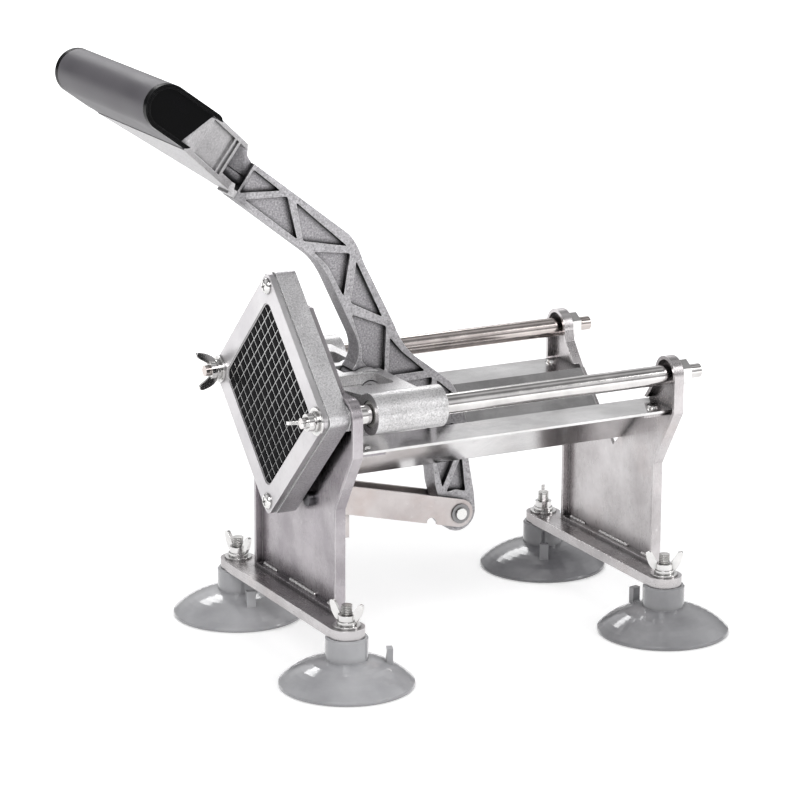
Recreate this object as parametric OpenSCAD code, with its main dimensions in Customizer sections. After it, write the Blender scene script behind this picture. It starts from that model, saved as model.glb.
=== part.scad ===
// Lever-action potato chip cutter: a head with crossed blades at the front, two guide rods,
// a sliding carriage with a toothed pusher, and a long lever with a T-bar grip.
// Front is -X, the viewer's right hand side seen from the front is -Y, +Z is up.
// The origin is on the table, under the middle of the overall length and width.

/* [Cutting head] */
// Pitch of the cells of the blade grid
cell_pitch = 6.35; // [6:0.05:6.6]
// Cells along one side of the grid
cells = 12; // [12:1:12]
// Thickness of a blade strip
blade_t = 0.6; // [0.5:0.1:0.8]
// Depth of the blade strips along the rods
blade_depth = 10; // [8:0.5:10]
// Width of the head frame round the grid opening
head_border = 12.4; // [12:0.1:13.5]
// Thickness of the cover plate
cover_t = 3; // [2.5:0.5:4]
// Depth of the cast head frame
casting_depth = 13; // [13:0.5:16]
// Rounding of the outer corners of the head
head_corner_r = 4.5; // [4:0.5:8]

/* [Uprights and bases] */
// Sheet thickness of the uprights
sheet_t = 2; // [1.5:0.25:2.5]
// Depth of the folded edge of an upright, sheet included
flange_depth = 6; // [5.5:0.25:7]
// Distance between the two uprights, and between the front and rear feet
upright_pitch = 200.5; // [195:0.5:212]
// Half width of the narrow foot of an upright
foot_half_w = 51; // [48:0.5:54]
// Radius of the round ears that hold the rods
ear_r = 10.6; // [10:0.1:11.5]
// Height of the rod axes above the table
rod_h = 147.5; // [145:0.5:152]
// Distance between the two rod axes
rod_pitch = 122; // [120:0.5:125]
// Height of the top face of the bases above the table
base_h = 33; // [31:0.5:35]
// Height of the folded rim of a base
base_rim = 5.5; // [5:0.25:6.5]
// Radius of the round ends of a base
base_end_r = 10; // [9.5:0.25:11]

/* [Trough] */
// Sheet thickness of the trough
trough_t = 1.5; // [1:0.25:2]
// Drop from the rod axes to the flat lips of the trough
lip_drop = 19.5; // [18:0.5:21]
// Half width over the lips
lip_half_w = 65; // [62:0.5:66]
// Half width of the lever slot along the bottom of the trough
slot_half_w = 9; // [8.5:0.25:10]

/* [Rods and fasteners] */
// Diameter of the guide rods
rod_d = 11.2; // [10:0.1:11.5]
// Diameter of the threaded rear end of a rod
rod_thread_rear = 8; // [7:0.5:8]
// Diameter of the threaded front end of a rod and of the foot studs
stud_d = 6; // [5:0.5:6]
// Width across the flats of the rear nuts
nut_af = 13; // [12:0.5:14]
// Thickness of the rear nuts
nut_t = 6.5; // [5:0.5:7]
// Thickness of every washer
washer_t = 1.2; // [1:0.1:1.4]
// Diameter of the small washers
washer_d = 15.4; // [14:0.2:16]
// Span of a wing nut over its wings
wing_span = 21; // [19:0.5:23]

/* [Carriage] */
// Outside diameter of the sleeves that run on the rods
sleeve_d = 23; // [22:0.5:24]
// Length of the sleeves
sleeve_l = 42.5; // [40:0.5:45]
// Wall of the plain bearing inside a sleeve
bushing_wall = 1.8; // [1.5:0.1:2.2]
// Radial running clearance of bearings and pins
run_gap = 0.05; // [0.03:0.01:0.09]
// Length of the teeth of the pusher
tooth_l = 20; // [18:0.5:21]
// Gap between a tooth and the middle of the blade beside it, on each side
tooth_gap = 0.75; // [0.6:0.05:1]
// Plate of the pusher block that carries the teeth
pusher_t = 2; // [2:0.5:3]
// Diameter of the lever pin
lever_pin_d = 7; // [6.5:0.5:8]

/* [Lever and grip] */
// Thickness of the cast lever
lever_t = 13; // [12:0.5:13.5]
// Depth of the pockets in each side of the lever
pocket_depth = 3.5; // [3:0.25:3.75]
// Length of the grip
grip_l = 120; // [112:1:124]
// Thickness of the grip
grip_t = 25; // [24:0.5:26]
// Wall of the grip cover
grip_wall = 2.5; // [2:0.25:3]
// Thickness of an end cap of the grip
cap_t = 4; // [3.5:0.5:5]

/* [Link] */
// Sheet thickness of the link
link_t = 1.8; // [1.5:0.1:2]
// Height of the link
link_h = 16; // [15:0.2:17]
// Diameter of the two link pins
link_pin_d = 6.6; // [6:0.1:7]

/* [Feet] */
// Distance between the near and far suction cups
foot_pitch_y = 137; // [135:0.5:141]
// Diameter of the rim of a suction cup
cup_d = 74.6; // [72:0.2:78]
// Diameter of the neck of a suction cup
cup_neck_d = 23.6; // [22:0.2:24]

/* [Hidden] */
$fn = 64;
eps = 0.01;
cut = 1;
wing_hub_h = 5.5;
head_screw_d = 5;
head_screw_l = 8;
bracket_screw_d = 4;
foot_stud_base = 16;

// Overall length runs from the nose of the grip to the rear suction cups or rod tips.
web_inset = 8;
pivot_inset = 34;
nose_rise = 177.3;
nose_run = 140;
rod_tip = 8.3;
reach_front = nose_run - pivot_inset - web_inset + grip_t / 2;
reach_rear = upright_pitch + max(cup_d / 2, web_inset + washer_t + nut_t + rod_tip);
x_front_foot = (reach_front - reach_rear) / 2;
x_rear_foot = x_front_foot + upright_pitch;

// Stations along the rods, from front to rear.
web_front_rear_face = x_front_foot + web_inset;
web_front_face = web_front_rear_face - sheet_t;
flange_front = web_front_rear_face - flange_depth;
casting_front = flange_front - casting_depth;
cover_front = casting_front - cover_t;
web_rear_rear_face = x_rear_foot + web_inset;
web_rear_face = web_rear_rear_face - sheet_t;
web_gap = web_rear_face - web_front_rear_face;

// Head and grid.
grid_side = cells * cell_pitch;
opening_side = grid_side - 1.9;
head_side = opening_side + 2 * head_border;
head_half_diag = head_side / sqrt(2);
blade_len = grid_side + 5;
recess_side = blade_len + 0.6;
recess_r = 4;
ram_opening_side = grid_side + 1.4;
opening_r = 5;
lip_w = 0.8;
lip_d = 0.5;
seam_t = 0.8;
seam_d = 1;
blade_front = cover_front + 0.6;
blades_rear = blade_front + blade_depth;
strip_front_l = opening_side - 1.7;
strip_fit = 0.1;
screw_inset = 9.35;
screw_ring = head_half_diag - screw_inset;
rod_y = rod_pitch / 2;
stud_hole = stud_d + 0.4;

// Uprights.
ear_out = rod_y + ear_r;
foot_straight = 60;
ear_drop = 20.5;
waist_low = base_h + foot_straight;
waist_high = rod_h - ear_drop;
top_rise = 49;
top_inset = 9.05;
front_half_diag = head_half_diag - top_inset;

// Trough.
lip_h = rod_h - lip_drop;
fold_y = 37;
v_bottom = lip_h - fold_y;
slot_front = web_front_rear_face + 7;
rivet_y = 57;
rivet_inset = 9;
rivet_d = 4;
tab_half_w = 6;
notch_side = 6;
notch_below = 20;
notch_above = 2;

// Carriage and pusher.
tooth_tip = cover_front + 0.3;
teeth_side = opening_side - 0.8;
carriage_front = tooth_tip + tooth_l + pusher_t;
holder_t = 5;
holder_side = 66;
holder_r = 9;
holder_rear = carriage_front + holder_t;
sleeve_front = web_front_rear_face + 9;
bushing_od = rod_d + 2 * run_gap + 2 * bushing_wall;
bushing_inset = 0.8;
block_side = grid_side - 2 * tooth_gap;
pusher_screws_at = [
    for (side = [-1, 1], level = [-2.5, 2.5])
        [side, level] * cell_pitch * sqrt(2)
];
pusher_screw_d = 3;
pusher_screw_in = 4;
screw_tip = carriage_front - pusher_t - pusher_screw_in;
pin_drop = 1.5;
pivot = [web_front_rear_face + pivot_inset, rod_h - pin_drop];
pivot_boss_r = 12;
ear_in = lever_t / 2 + 0.6;
ear_t = 6;
bridge_t = 6;
bridge_rise = 3;
bridge_l = 34;
window_out = 38;
saddle_drop = 8;
saddle_h = 17;

// Link and its pivots.
foot_run = 59.5;
foot_drop = 79.5;
crank_run = 18;
crank_drop = 60.8;
foot_pivot = pivot + [foot_run, -foot_drop];
link_pivot = pivot - [crank_run, crank_drop];
link_v = foot_pivot - link_pivot;
link_len = norm(link_v);
link_angle = atan2(link_v[1], link_v[0]);
boss_r = 11;
link_inner = lever_t / 2 + 1.2;
link_outer = link_inner + link_t;
clip_t = 0.8;
clip_rim = 4.6;
clip_pocket = 4;
pivot_play = 16;
pivot_shift = 0.7;
play_r = link_pin_d / 2 + 1.8;
cheek_t = 2.6;
cheek_outer = link_inner - 0.6;
plate_t = 2.5;
plate_half_w = 19;
plate_drop = 31;
plate_rise = 7;
plate_dip = 6;
bracket_screws_at = [for (side = [-1, 1]) [side * 13, v_bottom - 2]];

// Grip and yoke, in a frame whose X runs from the grip down to the lever.
grip_angle = 36.3;
grip_nose = pivot + [-nose_run, nose_rise];
grip_top_l = 29.5;
grip_bottom_l = 21.5;
grip_half = grip_l / 2;
yoke_half_t = grip_t / 2 - grip_wall;
yoke_wall = 4;
yoke_full_l = 22;
yoke_taper_end = 78;
yoke_top_end = 72;
yoke_end = 82;
yoke_window = 65;
yoke_core_end = 57;
yoke_core_half_t = 6;
yoke_out_half_t = 12.8;
yoke_pocket = 1.4;
yoke_pocket_rim = 2.6;
yoke_floor_t = 4.6;
yoke_roof_t = 2.6;
yoke_heel = -14.4;
yoke_heel_h = 4;
yoke_bolt_d = 5;
yoke_bolt_z = -4;
yoke_bolt_end = 102;
lever_end = 86.5;
tongue_half_w = 3;
neck_boss_d = 7.4;
neck_boss_start = 73;
neck_half_w = 12;
cap_rim = 2.4;
cap_recess = 2.2;
cap_corner = 4;

// ---------- helpers ----------

// Moves each side of a closed outline inwards by d. Points run anticlockwise.
function side_normal(a, b) = [a[1] - b[1], b[0] - a[0]] / norm(b - a);
function inset_point(a, p, b, d) =
    let (m = side_normal(a, p), n = side_normal(p, b))
    p + (m + n) * d / (1 + m * n);
function inset(pts, d) = [
    for (i = [0:len(pts) - 1])
        inset_point(pts[(i + len(pts) - 1) % len(pts)], pts[i], pts[(i + 1) % len(pts)], d)
];

// A round stretch from a to c that leans on b.
function bend(a, b, c, n = 6) = [
    for (i = [0:n])
        let (t = i / n)
        (1 - t) * (1 - t) * a + 2 * t * (1 - t) * b + t * t * c
];

// A closed outline with its corners rounded off over r, or less where a side is short.
function toward(p, q, r) = p + (q - p) * min(r / norm(q - p), 0.45);
function soften(pts, r, n = 3) = [
    for (i = [0:len(pts) - 1])
        let (before = pts[(i + len(pts) - 1) % len(pts)], after = pts[(i + 1) % len(pts)])
        each bend(toward(pts[i], before, r), pts[i], toward(pts[i], after, r), n)
];

// Mirrors the points of one half outline, given from the bottom up on the +Y side.
function both_sides(half) = concat(
    half,
    [for (i = [len(half) - 1:-1:0]) [-half[i][0], half[i][1]]]
);

// A flat shape drawn as (y, z), extruded along X from x.
module along_x(x, length) {
    translate([x, 0, 0])
        rotate([90, 0, 90])
            linear_extrude(length)
                children();
}

// A flat shape drawn as (x, z), extruded along Y and centred on y.
module along_y(y, length) {
    translate([0, y + length / 2, 0])
        rotate([90, 0, 0])
            linear_extrude(length)
                children();
}

// A round bar along X from x.
module bar_x(x, d, length) {
    translate([x, 0, 0])
        rotate([0, 90, 0])
            cylinder(d = d, h = length);
}

// A round bar along Y, centred.
module bar_y(at, d, length) {
    translate([at[0], -length / 2, at[1]])
        rotate([-90, 0, 0])
            cylinder(d = d, h = length);
}

// A square with round corners, centred.
module round_square(side, r) {
    square([side, side - 2 * r], center = true);
    square([side - 2 * r, side], center = true);
    for (i = [-1, 1], j = [-1, 1])
        translate([i, j] * (side / 2 - r))
            circle(r);
}

// The same square standing on a corner round the axis of the head.
module diamond(side, r) {
    translate([0, rod_h])
        rotate(45)
            round_square(side, r);
}

module on_both_rods() {
    for (side = [-1, 1])
        translate([0, side * rod_y, rod_h])
            children();
}

module on_all_feet() {
    for (x = [x_front_foot, x_rear_foot], side = [-1, 1])
        translate([x, side * foot_pitch_y / 2, 0])
            children();
}

// Frame of the grip and the yoke.
module grip_frame() {
    translate([grip_nose[0], 0, grip_nose[1]])
        rotate([0, grip_angle, 0])
            children();
}

// Frame of the link, X from its front pivot to the foot of the lever.
module link_frame() {
    translate([link_pivot[0], 0, link_pivot[1]])
        rotate([0, -link_angle, 0])
            children();
}

// ---------- uprights ----------

front_half = [
    [foot_half_w, base_h],
    [foot_half_w, waist_low],
    [ear_out, waist_high],
    [ear_out, rod_h],
    [rod_y, rod_h + ear_r],
    [front_half_diag - ear_r, rod_h + ear_r],
    [front_half_diag - top_rise, rod_h + top_rise]
];

rear_half = [
    [foot_half_w, base_h],
    [foot_half_w, waist_low],
    [ear_out, waist_high],
    [ear_out, rod_h],
    [rod_y - ear_r, rod_h],
    [rod_y - ear_r - 1.5, rod_h - 6],
    [fold_y + 1, lip_h],
    [fold_y, lip_h],
    [eps, v_bottom]
];

module upright_outline(half, d) {
    polygon(inset(both_sides(half), d));
    for (side = [-1, 1])
        translate([side * rod_y, rod_h])
            circle(ear_r - d);
}

// A sheet with its edge folded forward all round.
module folded_sheet(half, rear_face) {
    difference() {
        along_x(rear_face - flange_depth, flange_depth)
            upright_outline(half, 0);
        along_x(rear_face - flange_depth - cut, flange_depth - sheet_t + cut)
            upright_outline(half, sheet_t);
    }
}

// A tab under each lip of the trough, from x towards the rear.
module lip_tabs(x) {
    for (side = [-1, 1])
        translate([x, side * rivet_y - tab_half_w, lip_h - trough_t - sheet_t])
            cube([2 * rivet_inset, 2 * tab_half_w, sheet_t]);
}

module front_upright() {
    color("gainsboro") {
        difference() {
            folded_sheet(front_half, web_front_rear_face);
            along_x(flange_front - cut, flange_depth + 2 * cut)
                diamond(ram_opening_side, 2);
            on_both_rods()
                bar_x(flange_front - cut, stud_hole, flange_depth + 2 * cut);
            at_bracket_screws()
                bar_x(flange_front - cut, bracket_screw_d, flange_depth + 2 * cut);
        }
        difference() {
            lip_tabs(web_front_rear_face);
            at_rivets()
                cylinder(d = rivet_d, h = 20, center = true);
        }
    }
}

module rear_upright() {
    color("gainsboro") {
        difference() {
            folded_sheet(rear_half, web_rear_rear_face);
            along_x(web_rear_rear_face - flange_depth - cut, flange_depth - sheet_t + cut)
                translate([-fold_y - notch_side, v_bottom - notch_below])
                    square([2 * (fold_y + notch_side), fold_y + notch_below + notch_above]);
            on_both_rods()
                bar_x(web_rear_face - cut, rod_thread_rear + 0.4, sheet_t + 2 * cut);
        }
        difference() {
            lip_tabs(web_rear_face - 2 * rivet_inset);
            at_rivets()
                cylinder(d = rivet_d, h = 20, center = true);
        }
    }
}

// ---------- bases ----------

module base_outline(d) {
    front = -base_end_r + d;
    rear = web_inset - d;
    polygon([
        [front, -foot_pitch_y / 2],
        [0, -foot_pitch_y / 2 - 0.1],
        [base_end_r * 0.7 - d, -foot_pitch_y / 2 + base_end_r * 0.7 - d],
        [rear, -foot_half_w],
        [rear, foot_half_w],
        [base_end_r * 0.7 - d, foot_pitch_y / 2 - base_end_r * 0.7 + d],
        [0, foot_pitch_y / 2 + 0.1],
        [front, foot_pitch_y / 2]
    ]);
    for (side = [-1, 1])
        translate([0, side * foot_pitch_y / 2])
            circle(base_end_r - d);
}

module base(x) {
    color("gainsboro")
        translate([x, 0, base_h - base_rim])
            difference() {
                linear_extrude(base_rim)
                    base_outline(0);
                translate([0, 0, -cut])
                    linear_extrude(base_rim - sheet_t + cut)
                        base_outline(sheet_t);
                for (side = [-1, 1])
                    translate([0, side * foot_pitch_y / 2, -cut])
                        cylinder(d = stud_d + 0.4, h = base_rim + 2 * cut);
            }
}

module front_base() {
    base(x_front_foot);
}

module rear_base() {
    base(x_rear_foot);
}

// ---------- trough ----------

module at_rivets() {
    for (x = [web_front_rear_face + rivet_inset, web_rear_face - rivet_inset], side = [-1, 1])
        translate([x, side * rivet_y, lip_h])
            children();
}

// The section: flat lips and a right-angled V, one sheet thick.
module trough_section() {
    slope_drop = trough_t * sqrt(2);
    outer_fold = fold_y + slope_drop - trough_t;
    polygon([
        [-lip_half_w, lip_h],
        [-lip_half_w, lip_h - trough_t],
        [-outer_fold, lip_h - trough_t],
        [0, v_bottom - slope_drop],
        [outer_fold, lip_h - trough_t],
        [lip_half_w, lip_h - trough_t],
        [lip_half_w, lip_h],
        [fold_y, lip_h],
        [0, v_bottom],
        [-fold_y, lip_h]
    ]);
}

module trough() {
    color("whitesmoke")
        difference() {
            along_x(web_front_rear_face, web_gap)
                trough_section();
            translate([slot_front, -slot_half_w, v_bottom - fold_y])
                cube([upright_pitch, 2 * slot_half_w, 2 * fold_y]);
            at_rivets()
                cylinder(d = rivet_d, h = 20, center = true);
        }
}

module trough_rivets() {
    head_d = 7;
    head_t = 1.3;
    grip_l_rivet = trough_t + sheet_t;
    color("silver")
        at_rivets() {
            translate([0, 0, -grip_l_rivet - head_t])
                cylinder(d = rivet_d, h = grip_l_rivet + 2 * head_t);
            cylinder(d1 = head_d, d2 = head_d - 2, h = head_t);
            translate([0, 0, -grip_l_rivet - head_t])
                cylinder(d1 = head_d - 2, d2 = head_d, h = head_t);
        }
}

// ---------- rods and their fasteners ----------

module rod(side) {
    front_tip = cover_front - washer_t - wing_hub_h - 3;
    color("lightgray")
        translate([0, side * rod_y, rod_h]) {
            bar_x(web_front_rear_face, rod_d, web_gap);
            bar_x(front_tip, stud_d, web_front_rear_face - front_tip + eps);
            bar_x(web_rear_face - eps, rod_thread_rear, sheet_t + washer_t + nut_t + rod_tip + eps);
        }
}

module near_rod() {
    rod(-1);
}

module far_rod() {
    rod(1);
}

module ring(outer, inner, h) {
    difference() {
        cylinder(d = outer, h = h);
        translate([0, 0, -cut])
            cylinder(d = inner, h = h + 2 * cut);
    }
}

module rod_washers() {
    color("silver")
        on_both_rods()
            translate([web_rear_rear_face, 0, 0])
                rotate([0, 90, 0])
                    ring(washer_d + 1.6, rod_thread_rear, washer_t);
}

module rod_nuts() {
    color("silver")
        on_both_rods()
            translate([web_rear_rear_face + washer_t, 0, 0])
                rotate([0, 90, 0])
                    difference() {
                        cylinder(d = nut_af / cos(30), h = nut_t, $fn = 6);
                        translate([0, 0, -cut])
                            cylinder(d = rod_thread_rear, h = nut_t + 2 * cut);
                    }
}

// A wing nut on the Z axis with its wings along X.
module wing_nut() {
    tip = wing_span / 2;
    difference() {
        union() {
            cylinder(d = 11, h = 2);
            cylinder(d = 9.6, h = wing_hub_h);
            for (side = [0, 180])
                rotate(side)
                    along_y(0, 2)
                        polygon(concat(
                            [[3.5, 0.8]],
                            bend([5, 1.2], [tip - 1.5, 3], [tip, 10.5], 5),
                            bend([tip, 12], [tip - 2, 13.6], [tip - 3.6, 11], 4),
                            [[3.5, wing_hub_h]]
                        ));
        }
        translate([0, 0, -cut])
            cylinder(d = stud_d, h = 20);
    }
}

// ---------- cutting head ----------

module head_casting() {
    boss_d = 15;
    color("silver")
        difference() {
            union() {
                along_x(casting_front, seam_d + eps)
                    diamond(head_side - 2 * seam_t, head_corner_r);
                along_x(casting_front + seam_d, casting_depth - seam_d)
                    diamond(head_side, head_corner_r);
                on_both_rods()
                    bar_x(flange_front - eps, boss_d, flange_depth - sheet_t + eps);
            }
            along_x(casting_front - cut, casting_depth + 2 * cut)
                diamond(ram_opening_side, 2);
            along_x(casting_front - cut, blades_rear - casting_front + cut)
                diamond(recess_side, recess_r);
            on_both_rods()
                bar_x(casting_front - cut, stud_hole, casting_depth + flange_depth + 2 * cut);
            at_head_screws()
                bar_x(casting_front - cut, head_screw_d, head_screw_l + cut);
        }
}

module cover_plate() {
    color("whitesmoke")
        difference() {
            along_x(cover_front, cover_t)
                diamond(head_side - seam_t, head_corner_r);
            along_x(cover_front - cut, cover_t + 2 * cut)
                diamond(opening_side, opening_r);
            along_x(cover_front - cut, lip_d + cut)
                diamond(opening_side + 2 * lip_w, opening_r + lip_w);
            on_both_rods()
                bar_x(cover_front - cut, stud_hole, cover_t + 2 * cut);
            at_head_screws()
                bar_x(cover_front - cut, head_screw_d, cover_t + 2 * cut);
        }
}

// The half-depth slots along one edge of a strip, as (depth, length) from one end to the other.
function strip_slots(edge, root) = [
    for (i = [1:cells - 1])
        let (u = (i - cells / 2) * cell_pitch, w = blade_t / 2 + strip_fit)
        each [[edge, u - w], [root, u - w], [root, u + w], [edge, u + w]]
];
function reversed(pts) = [for (i = [len(pts) - 1:-1:0]) pts[i]];

// A strip seen on its flat: short in the opening of the cover, long where it is clamped.
module strip_shape(slots_at_front) {
    step = casting_front - blade_front + strip_fit;
    front_slots = slots_at_front ? strip_slots(0, blade_depth / 2 + strip_fit) : [];
    rear_slots = slots_at_front ? [] : strip_slots(blade_depth, blade_depth / 2 - strip_fit);
    polygon(concat(
        [[step, -blade_len / 2], [step, -strip_front_l / 2], [0, -strip_front_l / 2]],
        front_slots,
        [[0, strip_front_l / 2], [step, strip_front_l / 2], [step, blade_len / 2]],
        [[blade_depth, blade_len / 2]],
        reversed(rear_slots),
        [[blade_depth, -blade_len / 2]]
    ));
}

// The strips of one direction. Turn 0 runs from the lower far side to the upper near side.
module blade_set(turn, slots_at_front) {
    color("lightgray")
        translate([blade_front, 0, rod_h])
            rotate([45 + turn, 0, 0])
                for (i = [1:cells - 1])
                    along_y((i - cells / 2) * cell_pitch, blade_t)
                        strip_shape(slots_at_front);
}

module front_blades() {
    blade_set(0, false);
}

module back_blades() {
    blade_set(90, true);
}

module at_head_screws() {
    for (side = [-1, 1])
        translate([0, 0, rod_h + side * screw_ring])
            children();
}

module head_screws() {
    head_d = 9;
    head_h = 2.4;
    color("silver")
        at_head_screws() {
            bar_x(cover_front - eps, head_screw_d, cover_t + head_screw_l);
            translate([cover_front, 0, 0])
                rotate([0, -90, 0])
                    difference() {
                        rotate_extrude()
                            polygon(concat([[0, 0], [head_d / 2, 0]],
                                bend([head_d / 2, 0.6], [head_d / 2 - 0.6, head_h], [0, head_h])));
                        for (turn = [20, 110])
                            rotate(turn)
                                translate([-2.4, -0.5, head_h - 1])
                                    cube([4.8, 1, 2]);
                    }
        }
}

module head_washers() {
    color("silver")
        on_both_rods()
            translate([cover_front - washer_t, 0, 0])
                rotate([0, 90, 0])
                    ring(washer_d, stud_d, washer_t);
}

module head_wing_nuts() {
    turns = [-80, 12];
    color("silver")
        for (i = [0, 1])
            translate([cover_front - washer_t, (2 * i - 1) * rod_y, rod_h])
                rotate([0, -90, 0])
                    rotate(turns[i])
                        wing_nut();
}

// ---------- link bracket ----------

module at_bracket_screws() {
    for (at = bracket_screws_at)
        translate([0, at[0], at[1]])
            children();
}

// One cheek, with a long hole that lets the front pin of the link drop during the stroke.
module cheek_shape() {
    rim = 2.8;
    at = link_pivot + [pivot_shift, 0];
    back = web_front_rear_face + plate_t - eps;
    difference() {
        union() {
            translate(at)
                circle(play_r + rim);
            translate([back, at[1] - pivot_play - play_r - rim])
                square([at[0] + play_r + rim - back, pivot_play + play_r + rim]);
            translate([back, at[1] - pivot_play])
                square([at[0] - back, pivot_play + play_r - 2]);
        }
        for (drop = [0, pivot_play])
            translate(at - [0, drop])
                circle(play_r);
        translate(at - [play_r, pivot_play])
            square([2 * play_r, pivot_play]);
    }
}

module link_bracket() {
    color("silver") {
        difference() {
            along_x(web_front_rear_face, plate_t)
                polygon([
                    [-plate_half_w, v_bottom - plate_drop],
                    [plate_half_w, v_bottom - plate_drop],
                    [plate_half_w, v_bottom + plate_rise],
                    [0, v_bottom - plate_dip],
                    [-plate_half_w, v_bottom + plate_rise]
                ]);
            at_bracket_screws()
                bar_x(web_front_rear_face - cut, bracket_screw_d, plate_t + 2 * cut);
        }
        for (side = [-1, 1])
            along_y(side * (cheek_outer - cheek_t / 2), cheek_t)
                cheek_shape();
    }
}

module bracket_screws() {
    head_t = 3;
    nut_h = 3.2;
    color("dimgray")
        at_bracket_screws() {
            bar_x(web_front_face - head_t, 8, head_t);
            bar_x(web_front_face - eps, bracket_screw_d, sheet_t + plate_t + nut_h + 1);
            translate([web_front_rear_face + plate_t, 0, 0])
                rotate([0, 90, 0])
                    cylinder(d = 8, h = nut_h, $fn = 6);
        }
}

// ---------- feet ----------

cup_tab_turns = [-20, -98, 103, -118];

module cup_profile() {
    r = cup_d / 2;
    neck = cup_neck_d / 2;
    seat = base_h - base_rim;
    shoulder = seat / 2 + 1;
    polygon(concat(
        [[0, base_h - sheet_t], [6.5, base_h - sheet_t], [6.5, seat], [neck - 0.8, seat]],
        [[neck, seat - 0.8], [neck, shoulder]],
        bend([neck, shoulder], [r * 0.72, shoulder - 2.5], [r - 0.3, 2.2], 8),
        [[r, 1.4], [r, 0.4], [r - 0.6, 0], [r - 2, 0]],
        bend([r - 2, 0], [r * 0.6, 7.5], [0, 9], 8)
    ));
}

module cup(index) {
    x = index < 2 ? x_front_foot : x_rear_foot;
    side = index % 2 == 0 ? -1 : 1;
    color("gray")
        translate([x, side * foot_pitch_y / 2, 0])
            difference() {
                union() {
                    rotate_extrude()
                        cup_profile();
                    rotate(cup_tab_turns[index])
                        translate([cup_d * 0.29, -2.6, 8])
                            cube([3.4, 5.2, 12]);
                }
                translate([0, 0, foot_stud_base])
                    cylinder(d = stud_d, h = base_h);
            }
}

module cup_front_near() {
    cup(0);
}

module cup_front_far() {
    cup(1);
}

module cup_rear_near() {
    cup(2);
}

module cup_rear_far() {
    cup(3);
}

module foot_studs() {
    color("silver")
        on_all_feet()
            translate([0, 0, foot_stud_base])
                cylinder(d = stud_d, h = base_h + washer_t + wing_hub_h + 5.5 - foot_stud_base);
}

module foot_washers() {
    color("silver")
        on_all_feet()
            translate([0, 0, base_h])
                ring(washer_d, stud_d, washer_t);
}

module foot_wing_nuts() {
    turns = [-60, -75, -30, 62];
    color("silver")
        for (i = [0:3])
            translate([
                i < 2 ? x_front_foot : x_rear_foot,
                (i % 2 == 0 ? -1 : 1) * foot_pitch_y / 2,
                base_h + washer_t
            ])
                rotate(turns[i])
                    wing_nut();
}

// ---------- carriage ----------

module at_pusher_screws() {
    for (at = pusher_screws_at)
        translate([0, at[0], rod_h + at[1]])
            children();
}

// An ear beside the lever, drawn as (x, z).
module ear_shape() {
    front = holder_rear - 1;
    translate(pivot)
        circle(pivot_boss_r);
    translate([front, rod_h - saddle_drop])
        square([pivot[0] - front, saddle_h]);
}

// The web from an ear to a sleeve, drawn as (x, y), with a window beside the ear.
module bridge_shape() {
    front = holder_rear - 2;
    rear = sleeve_front + bridge_l;
    outer = rod_y - sleeve_d / 2 + 3;
    difference() {
        polygon(concat(
            [[rear, ear_in], [rear, outer], [sleeve_front, outer]],
            bend([sleeve_front, outer], [holder_rear, window_out + 8], [front, window_out - 3]),
            [[front, ear_in]]
        ));
        polygon(soften([
            [holder_rear + 1, ear_in + ear_t + 0.5],
            [pivot[0] + 3, ear_in + ear_t + 0.5],
            [pivot[0] + 3, window_out],
            [holder_rear + 1, window_out - 2]
        ], 4));
    }
}

module carriage() {
    color("darkgray")
        difference() {
            union() {
                on_both_rods()
                    bar_x(sleeve_front, sleeve_d, sleeve_l);
                along_x(carriage_front, holder_t)
                    diamond(holder_side, holder_r);
                for (side = [0, 1])
                    mirror([0, side, 0]) {
                        along_y(ear_in + ear_t / 2, ear_t)
                            ear_shape();
                        translate([0, 0, rod_h + bridge_rise])
                            linear_extrude(bridge_t)
                                bridge_shape();
                    }
                translate([carriage_front + eps, -ear_in - 1, rod_h - saddle_drop])
                    cube([pivot[0] - pivot_boss_r - 1 - carriage_front, 2 * ear_in + 2, saddle_h]);
            }
            on_both_rods()
                bar_x(sleeve_front - cut, bushing_od, sleeve_l + 2 * cut);
            bar_y(pivot, lever_pin_d, 2 * (ear_in + ear_t + clip_pocket));
            for (side = [-1, 1])
                translate([0, side * (ear_in + ear_t + clip_pocket / 2), 0])
                    bar_y(pivot, lever_pin_d + clip_rim + 1.2, clip_pocket);
            at_pusher_screws()
                bar_x(carriage_front - cut, pusher_screw_d, holder_t + 2 * cut);
        }
}

module bushing(side) {
    color("ivory")
        translate([sleeve_front + bushing_inset, side * rod_y, rod_h])
            rotate([0, 90, 0])
                ring(bushing_od, rod_d + 2 * run_gap, sleeve_l - 2 * bushing_inset);
}

module near_bushing() {
    bushing(-1);
}

module far_bushing() {
    bushing(1);
}

module pusher_block() {
    tooth = cell_pitch - 2 * tooth_gap;
    color("#202020")
        difference() {
            union() {
                along_x(carriage_front - pusher_t, pusher_t)
                    diamond(block_side, 1);
                along_x(tooth_tip, tooth_l + eps)
                    intersection() {
                        diamond(teeth_side, opening_r);
                        translate([0, rod_h])
                            rotate(45)
                                for (i = [0:cells - 1], j = [0:cells - 1])
                                    translate([i - (cells - 1) / 2, j - (cells - 1) / 2] * cell_pitch)
                                        square(tooth, center = true);
                    }
            }
            at_pusher_screws()
                bar_x(screw_tip, pusher_screw_d, pusher_t + pusher_screw_in + cut);
        }
}

module pusher_screws() {
    head_t = 2.4;
    color("silver")
        at_pusher_screws() {
            bar_x(screw_tip, pusher_screw_d, pusher_screw_in + pusher_t + holder_t + eps);
            bar_x(holder_rear, 5.6, head_t);
        }
}

module lever_pin() {
    color("silver")
        bar_y(pivot, lever_pin_d, 2 * (ear_in + ear_t + clip_t + 1.4));
}

module clip_pair(at, d, from_y) {
    for (side = [0, 180])
        translate([at[0], 0, at[1]])
            rotate([-90, 0, side])
                translate([0, 0, from_y])
                    ring(d + clip_rim, d, clip_t);
}

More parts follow.
